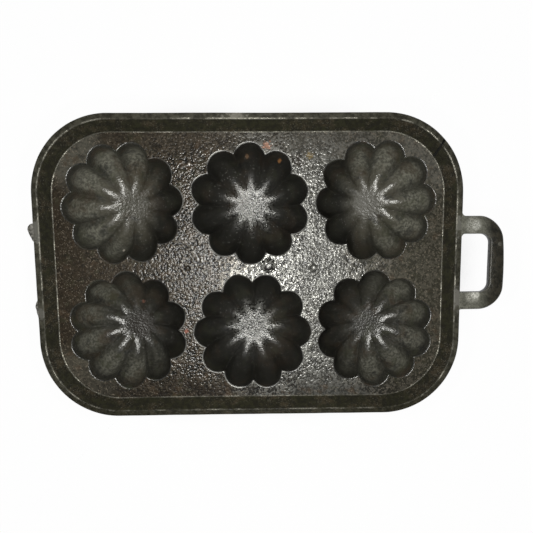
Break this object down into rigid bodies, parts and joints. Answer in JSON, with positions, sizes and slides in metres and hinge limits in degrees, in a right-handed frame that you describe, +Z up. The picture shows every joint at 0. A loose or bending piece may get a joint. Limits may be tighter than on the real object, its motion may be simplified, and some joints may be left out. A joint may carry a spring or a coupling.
{
  "type": "turk's head pan",
  "caption": "Oblong cast iron baking pan with a raised flared rim, fluted round cups in two rows and a loop handle at one end; bakes small fluted cakes.",
  "frame": {"origin": "on the surface the pan stands on, under the middle of its bounding box", "axes": "+X along the pan's length towards the loop handle, +Y to the rear row of cups, +Z up out of the cups' mouths"},
  "size_m": [0.307, 0.1948, 0.0471],
  "materials": {
    "deck_iron": "pitted, worn and slightly rusty",
    "rim_iron": "satin seasoned, worn along its edges",
    "cup_iron": "smooth black seasoning",
    "handle_iron": "satin seasoned, worn",
    "broken_iron": "dull broken face"
  },
  "bodies": {
    "root": {"deck": "deck_iron", "rim": "rim_iron", "cup_rear_left": "cup_iron", "cup_rear_middle": "cup_iron", "cup_rear_right": "cup_iron", "cup_front_left": "cup_iron", "cup_front_middle": "cup_iron", "cup_front_right": "cup_iron", "handle": "handle_iron", "broken_stub_rear": "broken_iron", "broken_stub_front": "broken_iron"}
  },
  "joints": []
}
